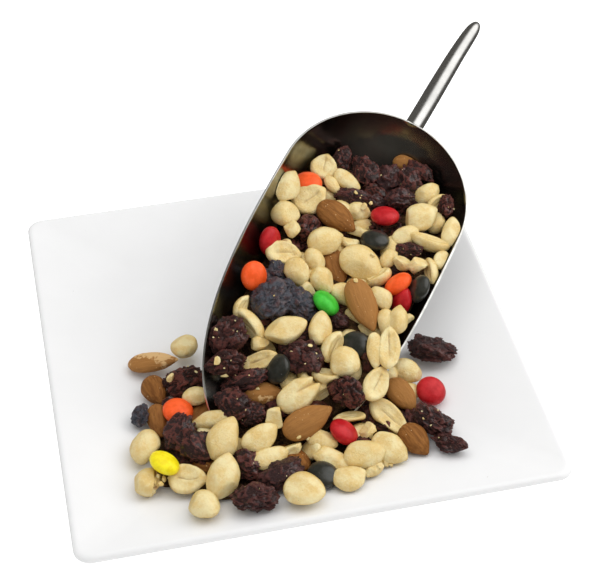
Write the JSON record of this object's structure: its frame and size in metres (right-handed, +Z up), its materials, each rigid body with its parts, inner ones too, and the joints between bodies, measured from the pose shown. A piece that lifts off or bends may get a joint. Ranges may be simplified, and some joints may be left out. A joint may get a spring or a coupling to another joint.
{
  "type": "scoop of trail mix on a square plate",
  "caption": "Trail mix of nuts, dried fruit and coated candies in a polished metal scoop, spilling over its lip onto a square white plate.",
  "frame": {"origin": "middle of the whole set's footprint, on the surface that the plate's foot ring stands on", "axes": "+Z up, +X and +Y along the plate's sides, the scoop's mouth towards -X and -Y and its handle towards +X and +Y"},
  "size_m": [0.2402, 0.251, 0.0738],
  "materials": {
    "white_glaze": "glazed white porcelain",
    "polished_steel": "polished stainless steel",
    "mixed_nuts": "oily nuts, dried fruit and coated candies",
    "almond_skin": "wrinkled brown skin",
    "pale_peanut": "blanched and oily",
    "dark_raisin": "wrinkled and sticky",
    "yellow_candy": "hard sugar shell",
    "red_candy": "hard sugar shell"
  },
  "bodies": {
    "root": {"plate": "white_glaze", "scoop_bowl": "polished_steel", "scoop_handle": "polished_steel", "trail_mix": "mixed_nuts", "almond_loose": "almond_skin", "peanut_loose_left": "pale_peanut", "raisin_loose_left": "dark_raisin", "peanut_loose_corner": "pale_peanut", "candy_yellow_loose": "yellow_candy", "peanut_split_loose": "pale_peanut", "peanut_loose_front": "pale_peanut", "raisin_loose_front": "dark_raisin", "peanut_yellow_loose": "pale_peanut", "raisin_loose_back": "dark_raisin", "candy_red_loose": "red_candy", "raisin_loose_right": "dark_raisin", "raisin_loose_tail": "dark_raisin"}
  },
  "joints": []
}
